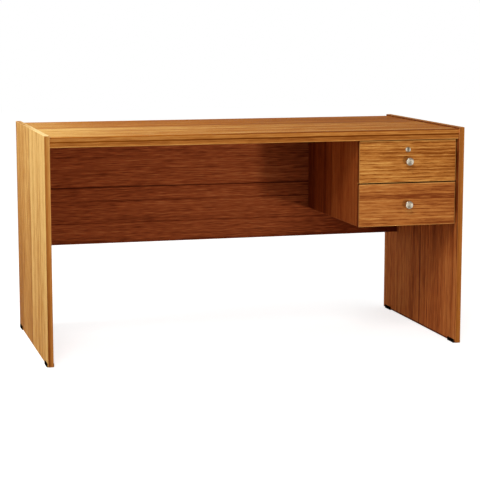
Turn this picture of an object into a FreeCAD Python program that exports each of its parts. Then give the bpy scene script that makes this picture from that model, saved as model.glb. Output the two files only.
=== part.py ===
import FreeCAD, Part
import enum
import os
import re
import Sketcher

# Wood-veneered office desk: two slab ends, a top between them, a modesty panel,
# and a hung unit with two drawers at the right. +Z is up, the front faces -Y,
# and the origin lies on the floor at the middle of the desk's outer box.

# Driving sizes in millimetres
SIZES = {
    # End panels
    "desk_width": 1400.0,
    "desk_depth": 685.0,
    "panel_height": 730.0,
    "end_board": 18.0,
    "edge_round": 1.2,
    # Floor shoes
    "shoe_length": 52.0,
    "shoe_wall": 3.0,
    "shoe_sole": 2.0,
    "shoe_rise": 10.0,
    "shoe_round": 1.0,
    "shoe_front_inset": 11.0,
    "shoe_rear_inset": 22.0,
    # Top and its front lipping
    "top_lip": 6.0,
    "front_lip": 6.0,
    "top_board": 18.0,
    "lipping_height": 32.0,
    "lipping_depth": 27.0,
    "nosing_round": 4.0,
    "groove_height": 4.0,
    "groove_depth": 3.0,
    "groove_drop": 16.0,
    "tongue_thickness": 4.0,
    "tongue_width": 16.0,
    "tongue_inset": 20.0,
    # Modesty panel
    "modesty_board": 18.0,
    "modesty_height": 402.0,
    "modesty_inset": 112.0,
    # Drawer unit
    "bay_width": 328.0,
    "unit_board": 18.0,
    "unit_height": 300.0,
    "front_setback": 15.0,
    "front_board": 18.0,
    "top_gap": 2.5,
    "front_gap": 4.0,
    "side_gap": 5.0,
    "back_gap": 1.0,
    "lower_front_height": 141.0,
    # Drawer boxes
    "side_board": 12.0,
    "side_rise": 17.0,
    "side_drop": 22.0,
    "back_board": 12.0,
    "back_drop": 8.0,
    "bottom_board": 4.0,
    "bottom_rise": 9.0,
    "bottom_groove": 6.0,
    "groove_play": 0.3,
    # Roller runners
    "runner_gap": 12.5,
    "runner_steel": 1.2,
    "runner_flange": 9.5,
    "runner_height": 30.0,
    "runner_drop": 2.0,
    "runner_inset": 2.0,
    "runner_rear_space": 62.0,
    "ride_play": 2.5,
    "ledge_width": 8.0,
    "roller_radius": 11.0,
    "roller_width": 6.0,
    "roller_chamfer": 0.8,
    "roller_inset": 14.0,
    "roller_lift": 2.0,
    "roller_near": 3.0,
    "rolling_play": 0.05,
    "axial_play": 0.25,
    "axle_radius": 2.5,
    "axle_play": 0.05,
    "axle_shoulder": 4.0,
    "axle_head": 0.6,
    # Runner screws
    "screw_radius": 1.75,
    "screw_head_radius": 3.0,
    "screw_head_height": 1.0,
    "screw_fit": 0.05,
    "cabinet_screw_length": 14.0,
    "cabinet_screw_rise": 20.5,
    "drawer_screw_length": 10.0,
    "drawer_screw_rise": 21.5,
    # Dowels
    "dowel_radius": 4.0,
    "dowel_length": 34.0,
    "dowel_in_face": 12.0,
    "dowel_fit": 0.05,
    "end_play": 0.5,
    "pin_radius": 3.0,
    "pin_length": 22.0,
    "pin_in_face": 8.0,
    # Knobs
    "knob_radius": 13.0,
    "knob_length": 22.0,
    "knob_base_radius": 8.0,
    "knob_base_height": 2.0,
    "knob_neck_radius": 5.0,
    "knob_neck_length": 10.0,
    "knob_flare_length": 4.5,
    "knob_rim_round": 2.5,
    "knob_dish_radius": 9.5,
    "knob_dish_depth": 1.2,
    "knob_bore_depth": 12.0,
    "knob_screw_radius": 2.0,
    "knob_screw_reach": 9.0,
    "knob_screw_fit": 0.05,
    "knob_screw_hole_play": 0.25,
    "knob_screw_head_radius": 4.0,
    "knob_screw_head_height": 2.5,
    # Cam lock
    "lock_drop": 30.5,
    "lock_rim_radius": 9.0,
    "lock_rim_height": 1.8,
    "lock_rim_chamfer": 0.6,
    "lock_barrel_radius": 8.0,
    "lock_barrel_tail": 6.0,
    "lock_hole_play": 0.1,
    "lock_nut_radius": 12.0,
    "lock_nut_height": 4.0,
    "lock_nut_play": 0.05,
    "plug_radius": 5.5,
    "plug_play": 0.05,
    "plug_recess": 0.3,
    "plug_tail_radius": 3.0,
    "keyway_width": 1.6,
    "keyway_height": 7.5,
    "keyway_depth": 7.0,
    "cam_play": 0.2,
    "cam_thickness": 2.0,
    "cam_width": 12.0,
    "cam_reach": 41.0,
    "cam_screw_radius": 1.5,
    "cam_screw_depth": 7.0,
    "cam_screw_fit": 0.05,
    "cam_screw_head_radius": 4.0,
    "cam_screw_head_height": 1.6,
    # Cutting tools run past a face by this much
    "overrun": 1.0,
}

# Where each fastener sits along its row, as shares of the row's length
TOP_DOWEL_SHARES = (0.06, 0.36, 0.66, 0.94)
MODESTY_END_DOWEL_SHARES = (0.12, 0.5, 0.88)
MODESTY_TOP_DOWEL_SHARES = (0.05, 0.28, 0.51, 0.9)
UNIT_TOP_DOWEL_SHARES = (0.08, 0.5, 0.8)
UNIT_BACK_DOWEL_SHARES = (0.2, 0.75)
LIPPING_DOWEL_SHARE = 0.22
SIDE_PIN_SHARES = (0.3, 0.8)
BACK_PIN_SHARES = (0.25, 0.75)
CABINET_SCREW_SHARES = (0.2, 0.5, 0.85)
DRAWER_SCREW_SHARES = (0.15, 0.6)

# Places worked out from the sizes
PLACES = {
    "knob_overhang": "knob_length - front_setback",
    "front_edge": "(knob_overhang - desk_depth) / 2",
    "rear_edge": "(knob_overhang + desk_depth) / 2",
    "half_width": "desk_width / 2",
    "inner_face": "half_width - end_board",
    "span": "2 * inner_face",
    "panel_top": "shoe_sole + panel_height",
    "top_surface": "panel_top - top_lip",
    "top_under": "top_surface - top_board",
    "lipping_front": "front_edge + front_lip",
    "lipping_back": "lipping_front + lipping_depth",
    "lipping_under": "top_surface - lipping_height",
    "top_depth": "rear_edge - lipping_back",
    "tongue_foot": "top_under + (top_board - tongue_thickness) / 2",
    "modesty_front": "rear_edge - modesty_inset - modesty_board",
    "modesty_foot": "top_under - modesty_height",
    "unit_right": "inner_face - bay_width",
    "unit_left": "unit_right - unit_board",
    "unit_foot": "top_under - unit_height",
    "front_face": "front_edge + front_setback",
    "front_back": "front_face + front_board",
    "unit_front": "front_back + back_gap",
    "unit_depth": "modesty_front - unit_front",
    "front_width": "inner_face - side_gap - unit_left",
    "front_middle": "unit_left + front_width / 2",
    "upper_front_foot": "unit_foot + lower_front_height + front_gap",
    "upper_front_height": "lipping_under - top_gap - upper_front_foot",
    "runner_front": "unit_front + runner_inset",
    "runner_rear": "modesty_front - runner_rear_space",
    "runner_length": "runner_rear - runner_front",
    "box_left": "unit_right + runner_gap",
    "box_right": "inner_face - runner_gap",
    "box_width": "box_right - box_left",
    "box_depth": "runner_rear - front_back",
    "inside_left": "box_left + side_board",
    "inside_width": "box_width - 2 * side_board",
    "roller_far": "roller_near + roller_width",
    "barrel_end": "front_back + lock_barrel_tail",
    "rim_face": "front_face - lock_rim_height",
    "plug_face": "rim_face + plug_recess",
    "cam_front": "barrel_end + cam_play",
    "cam_back": "cam_front + cam_thickness",
    "lock_height": "upper_front_foot + upper_front_height - lock_drop",
}

# Edges of a plain box in the order of their numbers, by the two faces that meet there
Edge = enum.IntEnum("Edge", (
    "LEFT_FRONT", "LEFT_TOP", "LEFT_REAR", "LEFT_FOOT",
    "RIGHT_FRONT", "RIGHT_TOP", "RIGHT_REAR", "RIGHT_FOOT",
    "FRONT_FOOT", "FRONT_TOP", "REAR_FOOT", "REAR_TOP",
))

# A sketch's own axes and the ends of its lines, in the order of their numbers
Axis = enum.IntEnum("Axis", ("VERTICAL", "HORIZONTAL"), start=-2)
End = enum.IntEnum("End", ("FIRST", "LAST"))

DIRECTIONS = {
    "x": FreeCAD.Vector(1, 0, 0),
    "y": FreeCAD.Vector(0, 1, 0),
    "-y": FreeCAD.Vector(0, -1, 0),
    "z": FreeCAD.Vector(0, 0, 1),
}

doc = FreeCAD.newDocument("Desk")
sheet = doc.addObject("Spreadsheet::Sheet", "Sizes")
for row, (size_name, size_value) in enumerate(SIZES.items(), start=1):
    sheet.set("A%d" % row, size_name)
    sheet.set("B%d" % row, str(size_value))
    sheet.setAlias("B%d" % row, size_name)
doc.recompute()
pieces = []


# Formulas and basic shapes

def formula(text):
    """Spells out named places and points every size at its cell in the sheet."""
    def spell(match):
        word = match.group()
        if word in PLACES:
            return "(" + formula(PLACES[word]) + ")"
        if word in SIZES:
            return "Sizes." + word
        return word
    return re.sub(r"[a-z_]+", spell, text)


def bind(item, prop, text):
    item.setExpression(prop, formula(text))


def place(item, corner, axis="z"):
    turn = FreeCAD.Rotation(DIRECTIONS["z"], DIRECTIONS[axis])
    item.Placement = FreeCAD.Placement(FreeCAD.Vector(), turn)
    for letter, text in zip("xyz", corner):
        bind(item, "Placement.Base." + letter, text)


def box(label, size, corner):
    item = doc.addObject("Part::Box", label)
    for prop, text in zip(("Length", "Width", "Height"), size):
        bind(item, prop, text)
    place(item, corner)
    return item


def rod(label, radius, length, start, axis):
    item = doc.addObject("Part::Cylinder", label)
    bind(item, "Radius", radius)
    bind(item, "Height", length)
    place(item, start, axis)
    return item


def rounded(base, rounds):
    """Rounds edges of a plain box: rounds gives the size name for each edge."""
    item = doc.addObject("Part::Fillet", base.Label + "_rounded")
    item.Base = base
    item.Edges = [(edge, sheet.get(size), sheet.get(size)) for edge, size in rounds.items()]
    return item


def group(label, items):
    item = doc.addObject("Part::Compound", label)
    item.Links = items
    return item


def fuse(label, items):
    item = doc.addObject("Part::MultiFuse", label)
    item.Shapes = items
    item.Refine = True
    return item


def cut(label, base, tools):
    item = doc.addObject("Part::Cut", label)
    item.Base = base
    item.Tool = tools[0] if len(tools) == 1 else group(label + "_tools", tools)
    return item


def keep(item, node):
    item.Label = node
    pieces.append(item)
    return item


def turned(node, profile, start, axis):
    """A body of revolution: the profile's points are (radius, distance along the axis)."""
    body = doc.addObject("PartDesign::Body", node)
    sketch = body.newObject("Sketcher::SketchObject", node + "_profile")
    plane = [item for item in body.Origin.OriginFeatures if item.Role == "XZ_Plane"][0]
    sketch.AttachmentSupport = [(plane, "")]
    sketch.MapMode = "FlatFace"
    points = []
    for radius, along in profile:
        across_value = float(sheet.evalExpression(formula(radius)))
        along_value = float(sheet.evalExpression(formula(along)))
        points.append(FreeCAD.Vector(across_value, along_value, 0))
    count = len(points)
    for number in range(count):
        sketch.addGeometry(Part.LineSegment(points[number], points[(number + 1) % count]))
    for number in range(count):
        following = (number + 1) % count
        ends = (number, End.LAST, following, End.FIRST)
        sketch.addConstraint(Sketcher.Constraint("Coincident", *ends))
    for number, (radius, along) in enumerate(profile):
        pin_point(sketch, number, "DistanceX", radius, Axis.VERTICAL)
        pin_point(sketch, number, "DistanceY", along, Axis.HORIZONTAL)
    spin = body.newObject("PartDesign::Revolution", node + "_turned")
    spin.Profile = sketch
    spin.ReferenceAxis = (sketch, ["V_Axis"])
    place(body, start, axis)
    return body


def pin_point(sketch, line, kind, text, axis):
    """Ties the first point of a line to the sketch's axes by a formula."""
    if text == "0":
        sketch.addConstraint(Sketcher.Constraint("PointOnObject", line, End.FIRST, axis))
        return
    value = float(sheet.evalExpression(formula(text)))
    origin = (Axis.HORIZONTAL, End.FIRST)
    index = sketch.addConstraint(Sketcher.Constraint(kind, *origin, line, End.FIRST, value))
    sketch.setExpression("Constraints[%d]" % index, formula(text))


def rim_rounded(body, rim_radius, size_name):
    """Rounds the full circles of one radius on a turned body."""
    base = body.Tip
    doc.recompute()
    radius = sheet.get(rim_radius)
    names = []
    for number, edge in enumerate(base.Shape.Edges, start=1):
        curve = edge.Curve
        if isinstance(curve, Part.Circle) and abs(curve.Radius - radius) < edge.Tolerance:
            names.append("Edge%d" % number)
    fillet = body.newObject("PartDesign::Fillet", body.Label + "_rim")
    fillet.Base = (base, names)
    bind(fillet, "Radius", size_name)
    return body


# Dowels of the carcass, and the holes that every board needs

FACE_FIRST = "dowel_in_face"
FACE_LAST = "dowel_length - dowel_in_face"
BOARDS = (
    "left_end_panel",
    "right_end_panel",
    "top_panel",
    "front_lipping",
    "modesty_panel",
    "drawer_unit_side",
)
holes = {board: [] for board in BOARDS}
dowels = []


def dowel(boards, joint, axis, back):
    """A dowel across a joint face, started some way back from it, with its hole in both boards."""
    letter = "xyz".index(axis)
    start = list(joint)
    start[letter] = "%s - (%s)" % (joint[letter], back)
    dowels.append(rod("dowel", "dowel_radius", "dowel_length", start, axis))
    start[letter] += " - end_play"
    hole_length = "dowel_length + 2 * end_play"
    hole = rod("dowel_hole", "dowel_radius + dowel_fit", hole_length, start, axis)
    for board in boards:
        holes[board].append(hole)


def end_panel_dowels(panel, face, back):
    top_middle = "top_under + top_board / 2"
    modesty_middle = "modesty_front + modesty_board / 2"
    for share in TOP_DOWEL_SHARES:
        dowel((panel, "top_panel"), (face, "lipping_back + top_depth * %g" % share, top_middle), "x", back)
    for share in MODESTY_END_DOWEL_SHARES:
        height = "modesty_foot + modesty_height * %g" % share
        dowel((panel, "modesty_panel"), (face, modesty_middle, height), "x", back)
    height = "lipping_under + lipping_height * %g" % LIPPING_DOWEL_SHARE
    dowel((panel, "front_lipping"), (face, "lipping_front + lipping_depth / 2", height), "x", back)


def carcass_dowels():
    end_panel_dowels("left_end_panel", "-inner_face", FACE_FIRST)
    end_panel_dowels("right_end_panel", "inner_face", FACE_LAST)
    modesty_middle = "modesty_front + modesty_board / 2"
    unit_middle = "unit_left + unit_board / 2"
    for share in MODESTY_TOP_DOWEL_SHARES:
        joint = ("-inner_face + span * %g" % share, modesty_middle, "top_under")
        dowel(("top_panel", "modesty_panel"), joint, "z", FACE_LAST)
    for share in UNIT_TOP_DOWEL_SHARES:
        joint = (unit_middle, "unit_front + unit_depth * %g" % share, "top_under")
        dowel(("top_panel", "drawer_unit_side"), joint, "z", FACE_LAST)
    for share in UNIT_BACK_DOWEL_SHARES:
        joint = (unit_middle, "modesty_front", "unit_foot + unit_height * %g" % share)
        dowel(("modesty_panel", "drawer_unit_side"), joint, "y", FACE_LAST)
    keep(group("carcass_dowels", dowels), "carcass_dowels")


# Boards

def board(node, size, corner, rounds):
    blank = rounded(box(node + "_blank", size, corner), rounds)
    keep(cut(node, blank, holes[node]), node)


def lipping_joint():
    """Decorative groove along the lipping, and the loose tongue that holds it to the top."""
    groove = box(
        "lipping_groove",
        ("span + 2 * overrun", "groove_depth + overrun", "groove_height"),
        ("-inner_face - overrun", "lipping_front - overrun", "top_surface - groove_drop - groove_height / 2"),
    )
    holes["front_lipping"].append(groove)
    slot_front = "lipping_back - tongue_width / 2 - groove_play"
    slot = box(
        "tongue_slot",
        ("span - 2 * (tongue_inset - groove_play)", "tongue_width + 2 * groove_play", "tongue_thickness"),
        ("-inner_face + tongue_inset - groove_play", slot_front, "tongue_foot"),
    )
    holes["front_lipping"].append(slot)
    holes["top_panel"].append(slot)
    tongue = box(
        "lipping_tongue",
        ("span - 2 * tongue_inset", "tongue_width", "tongue_thickness"),
        ("-inner_face + tongue_inset", "lipping_back - tongue_width / 2", "tongue_foot"),
    )
    keep(tongue, "lipping_tongue")


def boards():
    all_round = dict.fromkeys(Edge, "edge_round")
    end_size = ("end_board", "desk_depth", "panel_height")
    board("left_end_panel", end_size, ("-half_width", "front_edge", "shoe_sole"), all_round)
    board("right_end_panel", end_size, ("inner_face", "front_edge", "shoe_sole"), all_round)
    board(
        "top_panel",
        ("span", "top_depth", "top_board"),
        ("-inner_face", "lipping_back", "top_under"),
        dict.fromkeys((Edge.REAR_TOP, Edge.REAR_FOOT), "edge_round"),
    )
    board(
        "front_lipping",
        ("span", "lipping_depth", "lipping_height"),
        ("-inner_face", "lipping_front", "lipping_under"),
        {Edge.FRONT_TOP: "nosing_round", Edge.FRONT_FOOT: "edge_round", Edge.REAR_FOOT: "edge_round"},
    )
    board(
        "modesty_panel",
        ("span", "modesty_board", "modesty_height"),
        ("-inner_face", "modesty_front", "modesty_foot"),
        dict.fromkeys((Edge.FRONT_FOOT, Edge.REAR_FOOT), "edge_round"),
    )
    front_edges = (Edge.LEFT_FRONT, Edge.RIGHT_FRONT)
    foot_edges = (Edge.LEFT_FOOT, Edge.RIGHT_FOOT, Edge.FRONT_FOOT)
    board(
        "drawer_unit_side",
        ("unit_board", "unit_depth", "unit_height"),
        ("unit_left", "unit_front", "unit_foot"),
        dict.fromkeys(front_edges + foot_edges, "edge_round"),
    )


# Floor shoes

def shoe(node, panel_left, front):
    """A channel pressed on the bottom edge of an end panel."""
    outer = box(
        node + "_outer",
        ("end_board + 2 * shoe_wall", "shoe_length", "shoe_sole + shoe_rise"),
        (panel_left + " - shoe_wall", front, "0"),
    )
    slot = box(
        node + "_slot",
        ("end_board", "shoe_length + 2 * overrun", "shoe_rise + overrun"),
        (panel_left, front + " - overrun", "shoe_sole"),
    )
    keep(cut(node, rounded(outer, dict.fromkeys(Edge, "shoe_round")), [slot]), node)


def shoes():
    for side, panel_left in (("left", "-half_width"), ("right", "inner_face")):
        shoe("shoe_front_" + side, panel_left, "front_edge + shoe_front_inset")
        shoe("shoe_rear_" + side, panel_left, "rear_edge - shoe_rear_inset - shoe_length")


# Roller runners: the steel sits in the gap between a drawer and the board beside it

RUNNER_BOARDS = {"left": "drawer_unit_side", "right": "right_end_panel"}
cabinet_screws = []
cabinet_axles = []


def across(side, near, far):
    """Left end of a stretch of the runner gap that is measured from the fixed board."""
    if side == "left":
        return "unit_right + (%s)" % near
    return "inner_face - (%s)" % far


def gap_box(label, side, near, far, foot, height):
    """A length of runner section, from near to far across the gap."""
    size = ("(%s) - (%s)" % (far, near), "runner_length", height)
    return box(label, size, (across(side, near, far), "runner_front", foot))


def gap_rod(label, radius, side, near, far, depth, height):
    start = (across(side, near, far), depth, height)
    return rod(label, radius, "(%s) - (%s)" % (far, near), start, "x")


def runner_base(foot):
    return foot + " + side_rise - runner_drop"


def cabinet_runner(tier, side, foot):
    node = "cabinet_runner_%s_%s" % (tier, side)
    base = runner_base(foot)
    upper_flange = base + " + runner_height - runner_steel"
    section = fuse(node + "_section", [
        gap_box(node + "_web", side, "0", "runner_steel", base, "runner_height"),
        gap_box(node + "_track", side, "0", "runner_flange", base, "runner_steel"),
        gap_box(node + "_guard", side, "0", "runner_flange", upper_flange, "runner_steel"),
    ])
    screw_height = base + " + cabinet_screw_rise"
    screw_end = "runner_steel - cabinet_screw_length"
    head_end = "runner_steel + screw_head_height"
    screw_holes = []
    for share in CABINET_SCREW_SHARES:
        depth = "runner_front + runner_length * %g" % share
        shank = gap_rod("screw_shank", "screw_radius", side, screw_end, "runner_steel", depth, screw_height)
        head = gap_rod("screw_head", "screw_head_radius", side, "runner_steel", head_end, depth, screw_height)
        cabinet_screws.append(fuse("cabinet_screw", [shank, head]))
        hole_radius = "screw_radius + screw_fit"
        hole_end = screw_end + " - end_play"
        hole_mouth = "runner_steel + overrun"
        hole = gap_rod("screw_hole", hole_radius, side, hole_end, hole_mouth, depth, screw_height)
        screw_holes.append(hole)
    holes[RUNNER_BOARDS[side]].extend(screw_holes)
    keep(cut(node, section, screw_holes), node)


def roller(node, side, depth, height):
    profile = (
        ("axle_radius + axle_play", "0"),
        ("roller_radius - roller_chamfer", "0"),
        ("roller_radius", "roller_chamfer"),
        ("roller_radius", "roller_width - roller_chamfer"),
        ("roller_radius - roller_chamfer", "roller_width"),
        ("axle_radius + axle_play", "roller_width"),
    )
    start = (across(side, "roller_near", "roller_far"), depth, height)
    keep(turned(node, profile, start, "x"), node)


def axle(side, depth, height, shoulder, head):
    """A riveted pin: shoulder and head are the stretches of the gap that they fill."""
    near = "roller_near - axial_play"
    far = "roller_far + axial_play"
    return fuse("axle", [
        gap_rod("axle_pin", "axle_radius", side, near, far, depth, height),
        gap_rod("axle_shoulder", "axle_shoulder", side, shoulder[0], shoulder[1], depth, height),
        gap_rod("axle_head", "axle_shoulder", side, head[0], head[1], depth, height),
    ])


def front_roller(tier, side, foot):
    """The roller at the front of a cabinet runner, which the drawer's runner rides on."""
    depth = "runner_front + roller_inset"
    height = runner_base(foot) + " + runner_steel + roller_lift + roller_radius"
    shoulder = ("runner_steel", "roller_near - axial_play")
    head = ("roller_far + axial_play", "roller_far + axial_play + axle_head")
    cabinet_axles.append(axle(side, depth, height, shoulder, head))
    roller("front_roller_%s_%s" % (tier, side), side, depth, height)


def rear_roller(tier, side, foot):
    """The roller at the rear of a drawer, which runs in the cabinet runner; returns its axle."""
    depth = "runner_rear - roller_inset"
    height = runner_base(foot) + " + runner_steel + rolling_play + roller_radius"
    shoulder = ("roller_far + axial_play", "runner_gap - runner_steel")
    head = ("roller_near - axial_play - axle_head", "roller_near - axial_play")
    roller("rear_roller_%s_%s" % (tier, side), side, depth, height)
    return axle(side, depth, height, shoulder, head)


def drawer_runner(tier, side, foot, side_holes):
    """The steel on a drawer's side, which returns its screws."""
    node = "%s_drawer_runner_%s" % (tier, side)
    base = runner_base(foot)
    ledge_foot = foot + " + side_rise - runner_steel"
    ride_rise = "runner_steel + roller_lift + 2 * roller_radius + rolling_play"
    ride_foot = "%s + %s" % (base, ride_rise)
    leg_near = "runner_gap - runner_steel"
    leg_height = "2 * runner_steel - runner_drop + " + ride_rise
    section = fuse(node + "_section", [
        gap_box(node + "_leg", side, leg_near, "runner_gap", ledge_foot, leg_height),
        gap_box(node + "_ride", side, "ride_play", "runner_gap", ride_foot, "runner_steel"),
        gap_box(node + "_ledge", side, leg_near, "runner_gap + ledge_width", ledge_foot, "runner_steel"),
    ])
    height = base + " + drawer_screw_rise"
    screw_end = leg_near + " + drawer_screw_length"
    head_start = leg_near + " - screw_head_height"
    screws = []
    screw_holes = []
    for share in DRAWER_SCREW_SHARES:
        depth = "runner_front + runner_length * %g" % share
        shank = gap_rod("screw_shank", "screw_radius", side, leg_near, screw_end, depth, height)
        head = gap_rod("screw_head", "screw_head_radius", side, head_start, leg_near, depth, height)
        screws.append(fuse("drawer_screw", [shank, head]))
        hole_radius = "screw_radius + screw_fit"
        hole_mouth = leg_near + " - overrun"
        hole_end = screw_end + " + end_play"
        hole = gap_rod("screw_hole", hole_radius, side, hole_mouth, hole_end, depth, height)
        screw_holes.append(hole)
    side_holes.extend(screw_holes)
    keep(cut(node, section, screw_holes), node)
    return screws


# Knobs and lock

def knob(node, height):
    profile = (
        ("knob_screw_radius", "0"),
        ("knob_base_radius", "0"),
        ("knob_base_radius", "knob_base_height"),
        ("knob_neck_radius", "knob_base_height"),
        ("knob_neck_radius", "knob_neck_length"),
        ("knob_radius", "knob_neck_length + knob_flare_length"),
        ("knob_radius", "knob_length"),
        ("0", "knob_length"),
        ("0", "knob_bore_depth"),
        ("knob_screw_radius", "knob_bore_depth"),
    )
    body = turned(node + "_turned", profile, ("front_middle", "front_face", height), "-y")
    rim_rounded(body, "knob_radius", "knob_rim_round")
    dish = doc.addObject("Part::Sphere", node + "_dish")
    ball = "(knob_dish_radius * knob_dish_radius / knob_dish_depth + knob_dish_depth) / 2"
    bind(dish, "Radius", ball)
    place(dish, ("front_middle", "front_face - knob_length + knob_dish_depth - %s" % ball, height))
    keep(cut(node, body, [dish]), node)


def knob_screw(node, height):
    """The screw behind a knob, which returns the hole it needs in the drawer front."""
    shank_start = ("front_middle", "front_face - knob_screw_reach", height)
    shank_length = "front_board + knob_screw_reach"
    shank = rod(node + "_shank", "knob_screw_radius - knob_screw_fit", shank_length, shank_start, "y")
    head_start = ("front_middle", "front_back", height)
    head = rod(node + "_head", "knob_screw_head_radius", "knob_screw_head_height", head_start, "y")
    keep(fuse(node, [shank, head]), node)
    hole_start = ("front_middle", "front_face - overrun", height)
    hole_radius = "knob_screw_radius + knob_screw_hole_play"
    return rod(node + "_hole", hole_radius, "front_board + 2 * overrun", hole_start, "y")


def lock_barrel():
    barrel_length = "lock_rim_height + front_board + lock_barrel_tail"
    profile = (
        ("plug_radius", "0"),
        ("lock_rim_radius - lock_rim_chamfer", "0"),
        ("lock_rim_radius", "lock_rim_chamfer"),
        ("lock_rim_radius", "lock_rim_height"),
        ("lock_barrel_radius", "lock_rim_height"),
        ("lock_barrel_radius", barrel_length),
        ("plug_radius", barrel_length),
    )
    start = ("front_middle", "rim_face", "lock_height")
    keep(turned("lock_barrel", profile, start, "y"), "lock_barrel")
    nut = doc.addObject("Part::Prism", "lock_nut_blank")
    bind(nut, "Circumradius", "lock_nut_radius")
    bind(nut, "Height", "lock_nut_height")
    place(nut, ("front_middle", "front_back", "lock_height"), "y")
    bore_start = ("front_middle", "front_back - overrun", "lock_height")
    bore_radius = "lock_barrel_radius + lock_nut_play"
    bore = rod("lock_nut_bore", bore_radius, "lock_nut_height + 2 * overrun", bore_start, "y")
    keep(cut("lock_nut", nut, [bore]), "lock_nut")


def lock_plug():
    shoulder = "barrel_end - plug_face"
    tail = "cam_back - plug_face"
    profile = (
        ("0", "0"),
        ("plug_radius - plug_play", "0"),
        ("plug_radius - plug_play", shoulder),
        ("plug_tail_radius", shoulder),
        ("plug_tail_radius", tail),
        ("cam_screw_radius", tail),
        ("cam_screw_radius", tail + " - cam_screw_depth"),
        ("0", tail + " - cam_screw_depth"),
    )
    body = turned("lock_plug_turned", profile, ("front_middle", "plug_face", "lock_height"), "y")
    keyway = box(
        "keyway",
        ("keyway_width", "keyway_depth + overrun", "keyway_height"),
        ("front_middle - keyway_width / 2", "plug_face - overrun", "lock_height - keyway_height / 2"),
    )
    keep(cut("lock_plug", body, [keyway]), "lock_plug")


def lock_cam():
    arm = "(cam_reach - cam_width / 2)"
    tip_place = ("front_middle - " + arm, "cam_front", "lock_height")
    hub_place = ("front_middle", "cam_front", "lock_height")
    bar_corner = ("front_middle - " + arm, "cam_front", "lock_height - cam_width / 2")
    plate = fuse("lock_cam_plate", [
        rod("cam_tip", "cam_width / 2", "cam_thickness", tip_place, "y"),
        rod("cam_hub", "cam_width / 2", "cam_thickness", hub_place, "y"),
        box("cam_bar", (arm, "cam_thickness", "cam_width"), bar_corner),
    ])
    hole_start = ("front_middle", "cam_front - overrun", "lock_height")
    hole_length = "cam_thickness + 2 * overrun"
    hole = rod("cam_hole", "plug_tail_radius + plug_play", hole_length, hole_start, "y")
    keep(cut("lock_cam", plate, [hole]), "lock_cam")
    shank_depth = "(cam_screw_depth - end_play)"
    shank_start = ("front_middle", "cam_back - " + shank_depth, "lock_height")
    head_start = ("front_middle", "cam_back", "lock_height")
    shank = rod("cam_screw_shank", "cam_screw_radius - cam_screw_fit", shank_depth, shank_start, "y")
    head = rod("cam_screw_head", "cam_screw_head_radius", "cam_screw_head_height", head_start, "y")
    keep(fuse("lock_cam_screw", [shank, head]), "lock_cam_screw")


def lock():
    """A cam lock above the upper knob, which returns the hole it needs in the drawer front."""
    lock_barrel()
    lock_plug()
    lock_cam()
    hole_start = ("front_middle", "front_face - overrun", "lock_height")
    hole_radius = "lock_barrel_radius + lock_hole_play"
    return rod("lock_hole", hole_radius, "front_board + 2 * overrun", hole_start, "y")


# Drawers

def drawer_pins(tier, side_foot, side_height, back_foot, back_height):
    """Small dowels of a drawer's four corners, which returns their holes by board."""
    pins = []
    pin_holes = {"front": [], "left": [], "right": [], "back": []}

    def pin(boards, start, axis):
        letter = "xyz".index(axis)
        pins.append(rod("pin", "pin_radius", "pin_length", start, axis))
        hole_start = list(start)
        hole_start[letter] += " - end_play"
        hole_length = "pin_length + 2 * end_play"
        hole = rod("pin_hole", "pin_radius + dowel_fit", hole_length, hole_start, axis)
        for name in boards:
            pin_holes[name].append(hole)

    middles = {"left": "box_left + side_board / 2", "right": "box_right - side_board / 2"}
    back_starts = {
        "left": "inside_left - pin_in_face",
        "right": "inside_left + inside_width - (pin_length - pin_in_face)",
    }
    for side in ("left", "right"):
        for share in SIDE_PIN_SHARES:
            height = "%s + (%s) * %g" % (side_foot, side_height, share)
            pin(("front", side), (middles[side], "front_back - pin_in_face", height), "y")
        for share in BACK_PIN_SHARES:
            height = "%s + (%s) * %g" % (back_foot, back_height, share)
            pin(("back", side), (back_starts[side], "runner_rear - back_board / 2", height), "x")
    node = tier + "_drawer_pins"
    keep(group(node, pins), node)
    return pin_holes


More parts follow.
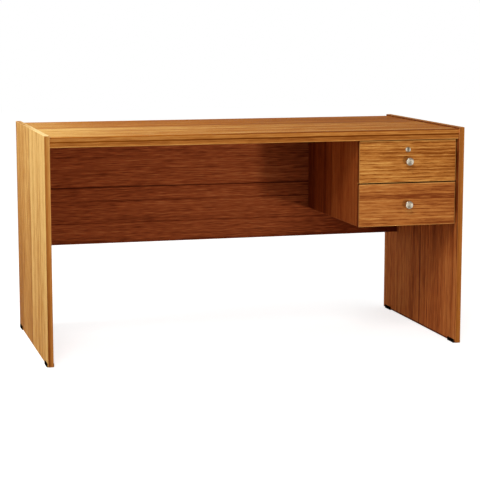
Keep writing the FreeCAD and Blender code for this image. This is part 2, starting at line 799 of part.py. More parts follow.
def drawer(tier, foot, front_height):
    prefix = tier + "_drawer_"
    side_foot = foot + " + side_rise"
    side_height = front_height + " - side_rise - side_drop"
    bottom_foot = side_foot + " + bottom_rise"
    back_foot = bottom_foot + " + bottom_board"
    back_height = side_height + " - bottom_rise - bottom_board - back_drop"
    middle_height = "%s + %s / 2" % (foot, front_height)
    pin_holes = drawer_pins(tier, side_foot, side_height, back_foot, back_height)

    slot = box(
        prefix + "bottom_slot",
        ("inside_width + 2 * bottom_groove", "box_depth + bottom_groove + overrun", "bottom_board"),
        ("inside_left - bottom_groove", "front_back - bottom_groove", bottom_foot),
    )
    tongue = "(bottom_groove - groove_play)"
    bottom = box(
        prefix + "bottom",
        ("inside_width + 2 * " + tongue, "box_depth + " + tongue, "bottom_board"),
        ("inside_left - " + tongue, "front_back - " + tongue, bottom_foot),
    )
    keep(bottom, prefix + "bottom")

    screws = []
    axles = []
    side_corners = {"left": "box_left", "right": "box_right - side_board"}
    for side in ("left", "right"):
        side_holes = [slot] + pin_holes[side]
        screws += drawer_runner(tier, side, foot, side_holes)
        axles.append(rear_roller(tier, side, foot))
        cabinet_runner(tier, side, foot)
        front_roller(tier, side, foot)
        node = "%s%s_side" % (prefix, side)
        corner = (side_corners[side], "front_back", side_foot)
        blank = box(node + "_blank", ("side_board", "box_depth", side_height), corner)
        keep(cut(node, blank, side_holes), node)
    keep(group(prefix + "runner_screws", screws), prefix + "runner_screws")
    keep(group(prefix + "axles", axles), prefix + "axles")

    back_corner = ("inside_left", "runner_rear - back_board", back_foot)
    back = box(prefix + "back_blank", ("inside_width", "back_board", back_height), back_corner)
    keep(cut(prefix + "back", back, pin_holes["back"]), prefix + "back")

    knob(prefix + "knob", middle_height)
    front_holes = [slot, knob_screw(prefix + "knob_screw", middle_height)] + pin_holes["front"]
    if tier == "upper":
        front_holes.append(lock())
    front_corner = ("unit_left", "front_face", foot)
    front = box(prefix + "front_blank", ("front_width", "front_board", front_height), front_corner)
    front = rounded(front, dict.fromkeys(Edge, "edge_round"))
    keep(cut(prefix + "front", front, front_holes), prefix + "front")


# The whole desk

carcass_dowels()
lipping_joint()
drawer("upper", "upper_front_foot", "upper_front_height")
drawer("lower", "unit_foot", "lower_front_height")
boards()
shoes()
keep(group("cabinet_runner_screws", cabinet_screws), "cabinet_runner_screws")
keep(group("cabinet_roller_axles", cabinet_axles), "cabinet_roller_axles")
doc.recompute()

for item in doc.Objects:
    if "Invalid" in item.State or "Error" in item.State:
        raise RuntimeError("%s did not build" % item.Label)
os.makedirs("parts", exist_ok=True)
for piece in pieces:
    if piece.Shape.isNull() or not piece.Shape.isValid():
        raise RuntimeError("%s has no valid shape" % piece.Label)
for piece in pieces:
    piece.Shape.exportStep("parts/%s.step" % piece.Label)
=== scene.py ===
import math

import bpy
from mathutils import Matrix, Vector


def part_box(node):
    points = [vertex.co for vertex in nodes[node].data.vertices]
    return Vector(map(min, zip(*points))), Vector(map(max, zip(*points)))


# Office desk in teak-like veneer, dressed and lit as in the photograph. Lengths are in metres.

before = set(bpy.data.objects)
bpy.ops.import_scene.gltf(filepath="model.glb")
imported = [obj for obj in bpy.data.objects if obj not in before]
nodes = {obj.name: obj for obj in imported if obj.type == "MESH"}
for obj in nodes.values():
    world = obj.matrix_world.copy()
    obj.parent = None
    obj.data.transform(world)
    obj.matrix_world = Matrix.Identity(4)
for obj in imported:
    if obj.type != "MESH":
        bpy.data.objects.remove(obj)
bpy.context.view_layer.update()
scene = bpy.context.scene

MM = 0.001
AXES = "XYZ"
WHITE = (1.0, 1.0, 1.0, 1.0)


def srgb(red, green, blue):
    """A colour given as it shows on a screen, 0 to 255, as the shader wants it."""
    linear = []
    for channel in (red, green, blue):
        share = channel / 255
        if share <= 0.04045:
            linear.append(share / 12.92)
        else:
            linear.append(((share + 0.055) / 1.055) ** 2.4)
    return (*linear, 1.0)


# Node trees

class Graph:
    """One material's node tree, built with short calls."""

    def __init__(self, name):
        self.material = bpy.data.materials.new(name)
        self.material.use_nodes = True
        self.tree = self.material.node_tree
        self.shader = self.tree.nodes["Principled BSDF"]

    def add(self, kind, **settings):
        node = self.tree.nodes.new("ShaderNode" + kind)
        for key, value in settings.items():
            setattr(node, key, value)
        return node

    def feed(self, socket, value):
        if isinstance(value, bpy.types.NodeSocket):
            self.tree.links.new(value, socket)
        else:
            socket.default_value = value

    def set(self, **values):
        for name, value in values.items():
            self.feed(self.shader.inputs[name.replace("_", " ")], value)

    def math(self, operation, *values, clamp=False):
        node = self.add("Math", operation=operation, use_clamp=clamp)
        for socket, value in zip(node.inputs, values):
            self.feed(socket, value)
        return node.outputs[0]

    def axes(self):
        """The place on the object along X, Y and Z."""
        place = self.add("TexCoord").outputs["Object"]
        split = self.add("SeparateXYZ")
        self.feed(split.inputs[0], place)
        return dict(zip(AXES, split.outputs))

    def join(self, first, second, third):
        node = self.add("CombineXYZ")
        for socket, value in zip(node.inputs, (first, second, third)):
            self.feed(socket, value)
        return node.outputs[0]

    def noise(self, vector, scale=1.0, detail=2.0, roughness=0.5):
        node = self.add("TexNoise")
        self.feed(node.inputs["Vector"], vector)
        self.feed(node.inputs["Scale"], scale)
        self.feed(node.inputs["Detail"], detail)
        self.feed(node.inputs["Roughness"], roughness)
        return node.outputs[0]

    def step(self, value, low, high, low_result=0.0, high_result=1.0):
        """A smooth step from low_result to high_result."""
        node = self.add("MapRange", interpolation_type="SMOOTHSTEP")
        for socket, part in zip(node.inputs, (value, low, high, low_result, high_result)):
            self.feed(socket, part)
        return node.outputs[0]

    def peak(self, value, centre, half, height):
        """A smooth peak around a centre, which falls to zero at half its width."""
        away = self.math("ABSOLUTE", self.math("SUBTRACT", value, centre))
        return self.step(away, 0.0, half, height, 0.0)

    def blend(self, amount, first, second):
        node = self.add("Mix", data_type="FLOAT")
        self.feed(node.inputs[0], amount)
        self.feed(node.inputs[2], first)
        self.feed(node.inputs[3], second)
        return node.outputs[0]

    def tint(self, amount, first, second):
        node = self.add("Mix", data_type="RGBA")
        self.feed(node.inputs[0], amount)
        self.feed(node.inputs[6], first)
        self.feed(node.inputs[7], second)
        return node.outputs[2]

    def ramp(self, value, *stops):
        node = self.add("ValToRGB")
        elements = node.color_ramp.elements
        while len(elements) < len(stops):
            elements.new(1.0)
        for element, (place, colour) in zip(elements, stops):
            element.position = place
            element.color = colour
        self.feed(node.inputs[0], value)
        return node.outputs[0]

    def bump(self, height, strength, distance):
        node = self.add("Bump")
        self.feed(node.inputs["Strength"], strength)
        self.feed(node.inputs["Distance"], distance)
        self.feed(node.inputs["Height"], height)
        self.feed(self.shader.inputs["Normal"], node.outputs[0])


def paint(material, *names):
    for name in names:
        slots = nodes[name].data.materials
        slots.clear()
        slots.append(material)


# Veneer: tones

def tones(dark, middle, light):
    return {"dark": srgb(*dark), "middle": srgb(*middle), "light": srgb(*light)}


TEAK = tones((122, 62, 18), (174, 108, 46), (206, 148, 76))
RUDDY = tones((116, 54, 20), (168, 100, 45), (200, 140, 74))
HONEY = tones((132, 66, 14), (182, 106, 26), (232, 186, 106))
GOLDEN = tones((150, 90, 36), (192, 131, 58), (229, 185, 111))
# STRAW is a paler copy of the veneer: painted highlight on the ends of the left end panel.
STRAW = tones((150, 84, 46), (216, 168, 98), (244, 210, 144))
# RUSSET, SIENNA, MAHOGANY, CHESTNUT and UMBER are darker, redder copies of the veneer: painted shade on the
# modesty panel, the insides of the end panels, the unit side, the upstand of the right end panel, and the
# edges and ends of the drawer fronts.
RUSSET = tones((94, 35, 13), (160, 79, 40), (198, 118, 66))
SIENNA = tones((120, 51, 17), (198, 106, 48), (230, 148, 77))
MAHOGANY = tones((104, 40, 14), (156, 73, 29), (190, 108, 50))
CHESTNUT = tones((80, 28, 8), (112, 46, 16), (146, 76, 32))
UMBER = tones((50, 15, 4), (70, 24, 8), (98, 44, 18))
SEAM_BROWN = srgb(62, 26, 10)

# The figure is a number around the middle one, and is darker below it and lighter above
FIGURE_DARK = 0.15
FIGURE_MIDDLE = 0.5
FIGURE_LIGHT = 0.85

# Veneer: marks of the grain, by their run along it and their width across it

SWAY = (0.9, 0.16)
BROAD_BAND = (2.2, 0.06)
STREAK = (0.8, 0.017)
FINE_LINE = (0.15, 0.0036)
FLECK = (0.045, 0.0032)
PORE = (0.024, 0.0006)
DASH = (0.07, 0.012)
CURL = (0.14, 0.04)
CRIMP = (0.02, 0.014)
SWAY_REACH = 0.02
CONTRAST = (0.6, 0.7, 0.7, 0.5)
PORE_STEP = (0.08, 0.2)
PORE_SHADE = 0.35
LEAF_SCATTER = (37.0, 37.0, 37.0)

# Ripples of two spacings, each with its share, and the part of their wave that is dark or light
RIPPLES = ((0.0118, 1.0), (0.0066, 0.7))
CURL_TURNS = 1.0
CRIMP_TURNS = 0.4
TROUGH_STEP = (0.4, 1.0)
CREST_STEP = (-1.0, -0.5)
CREST_SHARE = 0.7
TROUGH_DASH = (-0.15, 0.15)
CREST_DASH = (-0.2, 0.1)
DASH_LEFT = 0.1

# Veneer: seams, edges and surface

NO_SEAM = 9.0
ONE_LEAF = 20.0
SEAM_WIDTH = 0.0022
SEAM_SHADE = 0.8
SEAM_BREAK = (-0.12, 0.12)
SEAM_LEFT = 0.5
SKIN = 0.0006
UPSTAND = 0.006
EDGE_CALM = 0.35
# Pale wear along the edges of the faces, partly a painted highlight where light catches them
WEAR_HIGHLIGHT_WIDTH = 0.0026
WEAR_HIGHLIGHT_BREAK = (-0.2, 0.1)
WEAR_HIGHLIGHT_LEFT = 0.4
WOOD_GLOSS = 0.02
WOOD_ROUGHNESS = 0.66
LINE_ROUGHNESS = 0.2
PORE_ROUGHNESS = 0.12
LINE_RELIEF = 0.4
SEAM_RELIEF = 2.0
WOOD_BUMP = (0.25, 0.2 * MM)


class Board(Graph):
    """The material of one veneered board, with its grain along one axis and its leaves across another."""

    def __init__(self, node, along, across):
        super().__init__(node + "_veneer")
        self.along = along
        self.across = across
        self.through = next(axis for axis in AXES if axis not in (along, across))
        low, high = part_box(node)
        self.low = dict(zip(AXES, low))
        self.high = dict(zip(AXES, high))
        self.place = self.axes()
        self.reach = {axis: self.from_sides(axis) for axis in AXES}
        self.end = self.step(self.reach[along], SKIN / 2, SKIN, 1.0, 0.0)
        self.on_edge = self.step(self.reach[self.through], SKIN, 2 * SKIN)
        self.long_edge = self.math("SUBTRACT", self.on_edge, self.end, clamp=True)
        # The band on an end runs the other way, along that end
        self.run = self.blend(self.end, self.place[along], self.place[across])
        self.side = self.blend(self.end, self.place[across], self.place[self.through])
        self.depth = self.blend(self.end, self.place[self.through], self.place[along])

    def from_sides(self, axis):
        """How far a point is from the nearer side of the board's box."""
        below = self.math("SUBTRACT", self.place[axis], self.low[axis])
        above = self.math("SUBTRACT", self.high[axis], self.place[axis])
        return self.math("MINIMUM", below, above)

    def from_edge_line(self):
        """How far a point is from the board's nearest edge line: the middle one of its three reaches."""
        first, second, third = self.reach.values()
        nearer = self.math("MINIMUM", first, second)
        further = self.math("MAXIMUM", first, second)
        return self.math("MAXIMUM", nearer, self.math("MINIMUM", further, third))

    def lay_leaves(self, seam, leaf):
        """Leaves of one width, with a seam at a distance from the board's low side."""
        self.seam = self.low[self.across] + seam
        self.leaf = leaf
        self.count = self.math("DIVIDE", self.math("SUBTRACT", self.side, self.seam), leaf)
        chance = self.add("TexWhiteNoise", noise_dimensions="1D")
        self.feed(chance.inputs["W"], self.math("FLOOR", self.count))
        self.scatter = chance.outputs["Color"]

    def marks(self, size, side, **settings):
        """Marks drawn out along the grain, different in each leaf, as a number around zero."""
        length, width = size
        parts = (
            self.math("DIVIDE", self.run, length),
            self.math("DIVIDE", side, width),
            self.math("DIVIDE", self.depth, width),
        )
        scattered = self.add("VectorMath", operation="MULTIPLY_ADD")
        self.feed(scattered.inputs[0], self.scatter)
        self.feed(scattered.inputs[1], LEAF_SCATTER)
        self.feed(scattered.inputs[2], self.join(*parts))
        return self.math("SUBTRACT", self.noise(scattered.outputs[0], **settings), 0.5)

    def draw_grain(self, sway, contrast):
        """The marks that every board has, and the figure that they add up to."""
        self.swayed = self.math("MULTIPLY_ADD", self.marks(SWAY, self.side), sway, self.side)
        broad = self.marks(BROAD_BAND, self.swayed)
        self.streak = self.marks(STREAK, self.swayed, detail=3.0, roughness=0.6)
        self.fine = self.marks(FINE_LINE, self.swayed, detail=2.0, roughness=0.6)
        fleck = self.marks(FLECK, self.swayed, detail=1.0)
        self.pore = self.step(self.marks(PORE, self.swayed, detail=1.0), *PORE_STEP)
        figure = 0.0
        for kind, share in zip((broad, self.streak, self.fine, fleck), contrast):
            figure = self.math("MULTIPLY_ADD", kind, share, figure)
        return self.math("MULTIPLY", figure, self.blend(self.long_edge, 1.0, EDGE_CALM))

    def draw_ripples(self, figure, amount):
        """Dark and light ripples along the grain, broken into dashes."""
        curl = self.math("MULTIPLY", self.marks(CURL, self.swayed), CURL_TURNS)
        curl = self.math("MULTIPLY_ADD", self.marks(CRIMP, self.swayed, detail=3.0), CRIMP_TURNS, curl)
        dash = self.marks(DASH, self.swayed, detail=4.0, roughness=0.7)
        for spacing, share in RIPPLES:
            phase = self.math("ADD", self.math("DIVIDE", self.swayed, spacing), curl)
            wave = self.math("SINE", self.math("MULTIPLY", phase, 2 * math.pi))
            trough = self.step(wave, *TROUGH_STEP, 0.0, -share * amount)
            crest = self.step(wave, *CREST_STEP, CREST_SHARE * share * amount, 0.0)
            dark_dash = self.step(dash, *TROUGH_DASH, DASH_LEFT, 1.0)
            light_dash = self.step(dash, *CREST_DASH, 1.0, DASH_LEFT)
            figure = self.math("MULTIPLY_ADD", trough, dark_dash, figure)
            figure = self.math("MULTIPLY_ADD", crest, light_dash, figure)
        return figure

    def draw_bands(self, figure, bands):
        """Bands along the grain, by distance from the board's low side, half width and change."""
        for distance, half, change in bands:
            centre = self.low[self.across] + distance
            figure = self.math("ADD", figure, self.peak(self.swayed, centre, half, change))
        return figure

    def draw_painted_light(self, figure, painted_light):
        """Painted light and shade across the grain, by distance from the board's low end, half width and
        change.
        """
        for distance, half, change in painted_light:
            centre = self.low[self.along] + distance
            figure = self.math("ADD", figure, self.peak(self.place[self.along], centre, half, change))
        return figure

    def spread(self, figure, axis, change, where=1.0):
        """A change from one value at the board's low side to another at its high side."""
        if not change:
            return figure
        amount = self.step(self.place[axis], self.low[axis], self.high[axis], *change)
        return self.math("MULTIPLY_ADD", amount, where, figure)

    def toned(self, figure, wood):
        return self.ramp(
            figure,
            (FIGURE_DARK, wood["dark"]),
            (FIGURE_MIDDLE, wood["middle"]),
            (FIGURE_LIGHT, wood["light"]),
        )

    def inner(self):
        """One on the half of the board that faces the middle of the desk."""
        middle = (self.low[self.through] + self.high[self.through]) / 2
        if middle < 0:
            return self.step(self.place[self.through], middle - SKIN, middle + SKIN)
        return self.step(self.place[self.through], middle + SKIN, middle - SKIN)

    def seam_line(self):
        """A thin dark line where two leaves meet, fainter in places."""
        share = self.math("FRACT", self.count)
        share = self.math("MINIMUM", share, self.math("SUBTRACT", 1.0, share))
        gap = self.math("MULTIPLY", share, self.leaf)
        line = self.step(gap, SEAM_WIDTH / 4, SEAM_WIDTH, SEAM_SHADE, 0.0)
        line = self.math("MULTIPLY", line, self.step(self.streak, *SEAM_BREAK, SEAM_LEFT, 1.0))
        return self.math("MULTIPLY", line, self.math("SUBTRACT", 1.0, self.end))

    def worn_highlight(self, wear_highlight):
        """Pale wear along the edges of the faces, partly a painted highlight where light catches the
        rounded edges.
        """
        line = self.step(self.from_edge_line(), WEAR_HIGHLIGHT_WIDTH / 4, WEAR_HIGHLIGHT_WIDTH, wear_highlight, 0.0)
        line = self.math("MULTIPLY", line, self.step(self.streak, *WEAR_HIGHLIGHT_BREAK, WEAR_HIGHLIGHT_LEFT, 1.0))
        return self.math("MULTIPLY", line, self.math("SUBTRACT", 1.0, self.on_edge))

    def dress(self, colour, line):
        """Set the colour, with the gloss and relief of lines, pores and seams."""
        rough = self.math("MULTIPLY_ADD", self.fine, LINE_ROUGHNESS, WOOD_ROUGHNESS)
        rough = self.math("MULTIPLY_ADD", self.pore, PORE_ROUGHNESS, rough)
        self.set(Base_Color=colour, Roughness=rough, Specular_IOR_Level=WOOD_GLOSS)
        height = self.math("SUBTRACT", self.math("MULTIPLY", self.fine, LINE_RELIEF), self.pore)
        height = self.math("SUBTRACT", height, self.math("MULTIPLY", line, SEAM_RELIEF))
        self.bump(height, *WOOD_BUMP)


def veneer(node, along, across, face, edge, ends=None, inside=None, rim=None, seam=NO_SEAM, leaf=ONE_LEAF,
           lean=0.0, drift=None, edge_lean=None, edge_drift=None, end_drift=None, bands=(), painted_light=(),
           ripple=0.0, wear_highlight=0.35, painted_end_reach=SKIN, sway=SWAY_REACH, contrast=CONTRAST):
    """Dress a board: tones by part of the board, and changes of the figure over it.

    lean parts the tone of two leaves at the seam. drift changes the figure along the board, edge_lean and
    edge_drift on its long edges, and end_drift on its ends. Painted light and shade across the grain falls
    on the inside only where the inside has a tone of its own. The inside and rim tones are painted shade,
    the ends' tone with its reach onto the faces is painted highlight on some boards and painted shade on
    others, and the pale wear along the edges is partly a painted highlight.
    """
    board = Board(node, along, across)
    board.lay_leaves(seam, leaf)
    figure = board.draw_grain(sway, contrast)
    if ripple:
        figure = board.draw_ripples(figure, ripple)
    figure = board.draw_bands(figure, bands)
    if lean:
        leaning = board.step(board.side, board.seam - SKIN, board.seam + SKIN, lean, -lean)
        figure = board.math("ADD", figure, leaning)
    figure = board.spread(figure, along, drift)
    figure = board.spread(figure, board.through, edge_lean, board.long_edge)
    figure = board.spread(figure, along, edge_drift, board.long_edge)
    figure = board.spread(figure, across, end_drift, board.end)
    figure = board.math("ADD", figure, FIGURE_MIDDLE)
    # The figure with the painted light and shade across the grain; where the inside has a tone of its own,
    # this falls on the inside only.
    painted_figure = board.draw_painted_light(figure, painted_light)

    colour = board.toned(figure if inside else painted_figure, face)
    # The inside takes its own darker, redder tone: painted shade on the faces turned to the middle of the
    # desk.
    if inside:
        colour = board.tint(board.inner(), colour, board.toned(painted_figure, inside))
    # The inner side of the upstand above the top takes the rim tone: painted shade.
    if rim:
        upstand = board.step(board.reach[along], UPSTAND - SKIN, UPSTAND + SKIN, 1.0, 0.0)
        upstand = board.math("MULTIPLY", board.inner(), upstand)
        colour = board.tint(upstand, colour, board.toned(figure, rim))
    colour = board.tint(board.on_edge, colour, board.toned(figure, edge))
    # The ends take their own tone, reaching onto the faces as far as given: painted highlight on the left
    # end panel's ends, painted shade at the drawer fronts' ends.
    if ends:
        painted_end = board.step(board.reach[along], SKIN / 2, painted_end_reach, 1.0, 0.0)
        colour = board.tint(painted_end, colour, board.toned(figure, ends))
    colour = board.tint(board.math("MULTIPLY", board.pore, PORE_SHADE), colour, face["dark"])
    line = board.seam_line()
    colour = board.tint(line, colour, SEAM_BROWN)
    # Pale wear along the edges, partly a painted highlight.
    colour = board.tint(board.worn_highlight(wear_highlight), colour, face["light"])
    board.dress(colour, line)
    paint(board.material, node)


# Veneered boards. Seams, bands and painted light and shade are placed from the front, left or lower side of
# their board.

def end_panels():
    # Left end panel: the pale tone of its ends, palest at the front, and the first band, lighter along the
    # front of the board, are painted highlight.
    veneer("left_end_panel", "Z", "Y", GOLDEN, TEAK, ends=STRAW, inside=RUSSET, seam=0.351, leaf=0.37,
           lean=0.12, drift=(-0.06, 0.24), edge_lean=(-0.42, 0.02), end_drift=(0.36, -0.5),
           contrast=(0.7, 0.9, 1.0, 0.8),
           bands=((0.023, 0.022, 0.42), (0.351, 0.02, -0.2), (0.685, 0.07, -0.3)))
    # Right end panel: the inside and rim tones and the darkening of the inside under and beside the drawers
    # are painted shade; the first three bands, lighter towards the front, are painted light.
    veneer("right_end_panel", "Z", "Y", GOLDEN, TEAK, inside=SIENNA, rim=CHESTNUT, seam=0.329, leaf=0.36,
           lean=-0.04, edge_lean=(-0.2, -0.08), sway=0.002, contrast=(0.2, 0.7, 0.9, 0.6),
           painted_light=((0.408, 0.16, -0.21), (0.498, 0.092, -0.4), (0.618, 0.12, -0.6)),
           bands=((0.021, 0.02, 0.25), (0.069, 0.068, 0.1), (0.179, 0.15, 0.06),
                  (0.329, 0.008, -0.5), (0.389, 0.08, -0.12)))


def top():
    # Top: lighter at the left end and darker at the right, by its drift and by the change at its left end:
    # painted light from the left.
    veneer("top_panel", "X", "Y", HONEY, TEAK, seam=0.356, leaf=0.36, lean=0.06, drift=(0.08, -0.12),
           contrast=(0.5, 0.9, 0.9, 0.6), painted_light=((0.0, 0.3, 0.12),), bands=((0.056, 0.13, 0.03),))
    # Front lipping: its edge drift, brighter on the top and bottom edges at the left end and darker at the
    # right, and the last band, lighter along the bottom edge, are painted highlight; the second band,
    # darker in the groove, is painted shade.
    veneer("front_lipping", "X", "Z", TEAK, HONEY, drift=(0.08, -0.04), edge_drift=(0.22, -0.28), wear_highlight=0.15,
           sway=0.0, contrast=(0.5, 0.4, 0.6, 0.5),
           bands=((0.0305, 0.003, -0.4), (0.016, 0.004, -0.52),
                  (0.0085, 0.007, -0.18), (0.0005, 0.003, 0.2)))


def modesty_and_unit_side():
    # Modesty panel: its dark tone and the darkening towards its right end are painted shade.
    veneer("modesty_panel", "X", "Z", RUSSET, RUSSET, seam=0.198, leaf=0.204, drift=(-0.1, 0.05),
           sway=0.006, contrast=(0.25, 0.3, 0.55, 0.7), painted_light=((1.362, 0.6, -0.5),),
           bands=((0.198, 0.005, -0.45), (0.071, 0.004, -0.24), (0.148, 0.005, -0.2), (0.0, 0.02, -0.2)))
    # Unit side: its dark tone and the first band, darker at the rear, are painted shade; the lean between
    # its leaves, lighter at the front, is partly leaf tone and partly painted light.
    veneer("drawer_unit_side", "Z", "Y", MAHOGANY, TEAK, seam=0.261, leaf=0.27, lean=0.15,
           bands=((0.521, 0.13, -0.2), (0.0, 0.26, -0.1)))


def drawer_fronts():
    # Drawer fronts: the dark tones of their edges and ends are painted shade in the gaps and at the ends,
    # the pale wear along the edges is partly a painted highlight, and the upper front's first band, lighter
    # along its top, is painted light against the shadow under the lipping.
    veneer("upper_drawer_front", "X", "Z", TEAK, CHESTNUT, ends=CHESTNUT, drift=(0.05, -0.1), ripple=0.4,
           wear_highlight=0.8, painted_end_reach=0.004, contrast=(0.4, 0.4, 0.6, 0.5),
           bands=((0.1385, 0.006, 0.15), (0.003, 0.006, 0.25)))
    veneer("lower_drawer_front", "X", "Z", RUDDY, UMBER, ends=CHESTNUT, drift=(0.05, -0.07), ripple=0.26,
           wear_highlight=0.8, painted_end_reach=0.004, contrast=(0.4, 0.4, 0.6, 0.5),
           bands=((0.0, 0.025, -0.2), (0.098, 0.014, -0.3), (0.138, 0.005, 0.15)))


# Plain boards inside

PLAIN_STREAK = (0.4, 0.008)
PLAIN_FLECKS = 9.0
PLAIN_STOPS = (0.3, 0.65)
PLAIN_FLECK_STEP = (0.6, 0.75)
PLAIN_FLECK_SHADE = 0.3
PLAIN_ROUGHNESS = 0.45
PLAIN_FLECK_ROUGHNESS = 0.2
PLAIN_GLOSS = 0.3
PLAIN_BUMP = (0.2, 0.1 * MM)
BOX_BIRCH = (srgb(214, 186, 146), srgb(190, 155, 110))
BOTTOM_BROWN = (srgb(190, 152, 108), srgb(164, 124, 82))
BARE_BEECH = (srgb(222, 190, 146), srgb(200, 160, 112))


def plain_board(name, along, colours, members):
    """Plain wood with faint streaks along one axis."""
    graph = Graph(name)
    place = graph.axes()
    base, streak_colour = colours
    length, width = PLAIN_STREAK
    parts = [graph.math("DIVIDE", place[axis], length if axis == along else width) for axis in AXES]
    streak = graph.noise(graph.join(*parts), detail=3.0)
    fleck = graph.noise(graph.join(*parts), scale=PLAIN_FLECKS, detail=1.0)
    colour = graph.ramp(streak, *zip(PLAIN_STOPS, (streak_colour, base)))
    colour = graph.tint(graph.step(fleck, *PLAIN_FLECK_STEP, 0.0, PLAIN_FLECK_SHADE), colour, streak_colour)
    rough = graph.math("MULTIPLY_ADD", fleck, PLAIN_FLECK_ROUGHNESS, PLAIN_ROUGHNESS)
    graph.set(Base_Color=colour, Roughness=rough, Specular_IOR_Level=PLAIN_GLOSS)
    graph.bump(fleck, *PLAIN_BUMP)
    paint(graph.material, *members)


def drawer_boxes():
    for tier in ("upper", "lower"):
        prefix = tier + "_drawer_"
        plain_board(prefix + "sides", "Y", BOX_BIRCH, [prefix + "left_side", prefix + "right_side"])
        plain_board(prefix + "back", "X", BOX_BIRCH, [prefix + "back"])
        plain_board(prefix + "bottom", "Y", BOTTOM_BROWN, [prefix + "bottom"])
    bare = ["lipping_tongue", "carcass_dowels", "upper_drawer_pins", "lower_drawer_pins"]
    plain_board("bare_beech", "X", BARE_BEECH, bare)


# Metal and plastic

SMEAR_ROUGHNESS = 0.2
GRAIN_STEP = (0.35, 0.7)
GRAINS_PER_SMEAR = 10
GRAIN_BUMP = (0.15, 0.05 * MM)
LATHE_PITCH = 0.2 * MM
LATHE_SMEARS = 260.0
LATHE_BUMP = (0.2, 0.02 * MM)
GLINT_TURN = 0.35
GLINT_SMEAR = 0.6
GLINT_STEP = (-0.3, 0.9)


def plain_finish(name, base, speck, roughness, grain, members, metallic=0.0, gloss=0.5):
    """A finish whose colour and gloss vary a little over grains of the given size."""
    graph = Graph(name)
    place = graph.axes()
    grains = graph.noise(graph.join(*place.values()), scale=1 / grain)
    smears = graph.noise(graph.join(*place.values()), scale=1 / (GRAINS_PER_SMEAR * grain))
    colour = graph.tint(graph.step(grains, *GRAIN_STEP), base, speck)
    rough = graph.math("MULTIPLY_ADD", smears, SMEAR_ROUGHNESS, roughness - SMEAR_ROUGHNESS / 2)
    graph.set(Base_Color=colour, Roughness=rough, Metallic=metallic, Specular_IOR_Level=gloss)
    graph.bump(grains, *GRAIN_BUMP)
    paint(graph.material, *members)


def turned_metal(name, axis_node, bright, dim, roughness):
    """Metal turned about the middle of a node, along Y: rings from the lathe, and a two-sided painted
    glint, bright and dim sectors painted into its colour.
    """
    graph = Graph(name)
    place = graph.axes()
    low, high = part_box(axis_node)
    across = graph.math("SUBTRACT", place["X"], (low.x + high.x) / 2)
    upward = graph.math("SUBTRACT", place["Z"], (low.z + high.z) / 2)
    squares = graph.math("MULTIPLY_ADD", across, across, graph.math("MULTIPLY", upward, upward))
    radius = graph.math("SQRT", squares)
    rings = graph.noise(graph.join(graph.math("DIVIDE", radius, LATHE_PITCH), 0.0, 0.0), detail=3.0)
    smears = graph.noise(graph.join(*place.values()), scale=LATHE_SMEARS)
    # A painted glint: bright sectors at the sides and dim ones above and below, dimmer towards the middle.
    angle = graph.math("ARCTAN2", upward, across)
    glint = graph.math("COSINE", graph.math("MULTIPLY_ADD", angle, 2.0, GLINT_TURN))
    outward = graph.step(radius, 0.0, (high.x - low.x) / 2)
    glint = graph.math("MULTIPLY", graph.math("MULTIPLY_ADD", smears, GLINT_SMEAR, glint), outward)
    colour = graph.tint(graph.step(glint, *GLINT_STEP), dim, bright)
    rough = graph.math("MULTIPLY_ADD", smears, SMEAR_ROUGHNESS, roughness - SMEAR_ROUGHNESS / 2)
    graph.set(Base_Color=colour, Roughness=rough, Metallic=1.0)
    graph.bump(rings, *LATHE_BUMP)
    paint(graph.material, axis_node)


def fittings():
    shoes = [name for name in nodes if name.startswith("shoe_")]
    plain_finish("shoe_black", srgb(12, 10, 8), srgb(20, 17, 15), 0.8, 0.8 * MM, shoes, gloss=0.0)
    runners = [name for name in nodes if "_runner_" in name and "screws" not in name]
    plain_finish("runner_coat", srgb(226, 223, 214), srgb(210, 206, 196), 0.4, 1.5 * MM, runners)
    rollers = [name for name in nodes if "_roller_" in name and "axles" not in name]
    plain_finish("roller_nylon", srgb(236, 234, 226), srgb(222, 219, 208), 0.5, 1.0 * MM, rollers)
    zinc = [name for name in nodes if name.endswith(("axles", "screws", "screw"))]
    zinc += ["lock_cam", "lock_nut"]
    plain_finish("zinc_plate", srgb(188, 188, 184), srgb(160, 160, 156), 0.36, 0.6 * MM, zinc, metallic=1.0)
    for tier in ("upper", "lower"):
        knob = tier + "_drawer_knob"
        turned_metal(knob + "_nickel", knob, srgb(200, 190, 170), srgb(138, 126, 110), 0.28)
    turned_metal("lock_nickel", "lock_barrel", srgb(204, 192, 170), srgb(124, 100, 74), 0.28)
    turned_metal("plug_nickel", "lock_plug", srgb(150, 140, 124), srgb(120, 110, 96), 0.3)


# Floor, light and camera

FLOOR_HALF = 12.0
FLOOR_GREY = (0.6, 0.6, 0.6, 1.0)
FLOOR_GLOW = 0.74
SKY_LIGHT = 0.45
SEEN_BY = ("Is Camera Ray", "Is Glossy Ray", "Is Transmission Ray")
CAMERA_PLACE = (-1.3749, -5.0749, 1.1142)
CAMERA_YAW = 0.2682
CAMERA_PITCH = 0.1476
CAMERA_LENS = 115.66
CAMERA_SENSOR = 36.0


def floor():
    half = FLOOR_HALF
    corners = [(-half, -half, 0), (half, -half, 0), (half, half, 0), (-half, half, 0)]
    mesh = bpy.data.meshes.new("floor")
    mesh.from_pydata(corners, [], [(0, 1, 2, 3)])
    plane = bpy.data.objects.new("floor", mesh)
    scene.collection.objects.link(plane)
    graph = Graph("pale_floor")
    graph.set(Base_Color=FLOOR_GREY, Roughness=0.9, Specular_IOR_Level=0.0)
    path = graph.add("LightPath").outputs
    seen = path[SEEN_BY[0]]
    for name in SEEN_BY[1:]:
        seen = graph.math("MAXIMUM", seen, path[name])
    graph.set(Emission_Color=WHITE, Emission_Strength=graph.math("MULTIPLY", seen, FLOOR_GLOW))
    mesh.materials.append(graph.material)


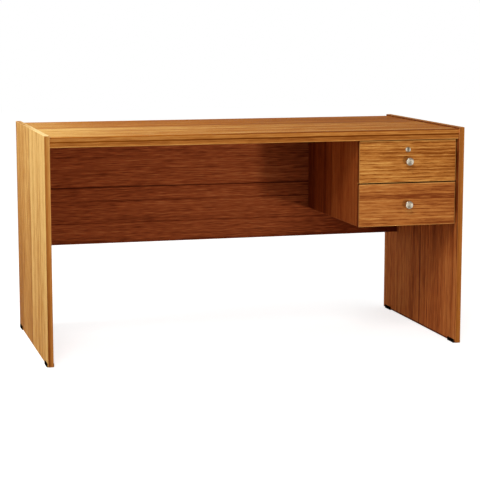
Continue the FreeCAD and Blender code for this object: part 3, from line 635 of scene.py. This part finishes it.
def surroundings():
    """White for what looks at it, and a softer light on the desk."""
    world = bpy.data.worlds.new("studio")
    scene.world = world
    world.use_nodes = True
    tree = world.node_tree
    background = tree.nodes["Background"]
    background.inputs["Color"].default_value = WHITE
    path = tree.nodes.new("ShaderNodeLightPath").outputs
    seen = path[SEEN_BY[0]]
    for name in SEEN_BY[1:]:
        either = tree.nodes.new("ShaderNodeMath")
        either.operation = "MAXIMUM"
        tree.links.new(seen, either.inputs[0])
        tree.links.new(path[name], either.inputs[1])
        seen = either.outputs[0]
    level = tree.nodes.new("ShaderNodeMapRange")
    level.inputs["To Min"].default_value = SKY_LIGHT
    tree.links.new(seen, level.inputs["Value"])
    tree.links.new(level.outputs[0], background.inputs["Strength"])


def softbox(name, place, target, size, power):
    data = bpy.data.lights.new(name, "AREA")
    data.shape = "DISK"
    data.size = size
    data.energy = power
    lamp = bpy.data.objects.new(name, data)
    lamp.location = place
    lamp.rotation_euler = (Vector(target) - Vector(place)).to_track_quat("-Z", "Y").to_euler()
    lamp.visible_camera = False
    scene.collection.objects.link(lamp)
    return lamp


def lights():
    softbox("front_light", place=(-1.6, -4.1, 4.6), target=(0.0, 0.0, 0.5), size=2.0, power=130.0)
    softbox("left_light", place=(-2.2, 0.0, 2.0), target=(-0.7, 0.0, 0.55), size=1.0, power=29.0)
    low = softbox("low_light", place=(1.07, -2.5, 0.2), target=(0.0, 0.2, 0.45), size=0.25, power=19.0)
    low.visible_glossy = False


def camera():
    data = bpy.data.cameras.new("camera")
    data.sensor_width = CAMERA_SENSOR
    data.lens = CAMERA_LENS
    eye = bpy.data.objects.new("camera", data)
    level = math.cos(CAMERA_PITCH)
    ahead = Vector((math.sin(CAMERA_YAW) * level, math.cos(CAMERA_YAW) * level, -math.sin(CAMERA_PITCH)))
    eye.location = CAMERA_PLACE
    eye.rotation_euler = ahead.to_track_quat("-Z", "Y").to_euler()
    scene.collection.objects.link(eye)
    scene.camera = eye


end_panels()
top()
modesty_and_unit_side()
drawer_fronts()
drawer_boxes()
fittings()
floor()
surroundings()
lights()
camera()
scene.view_settings.view_transform = "Standard"
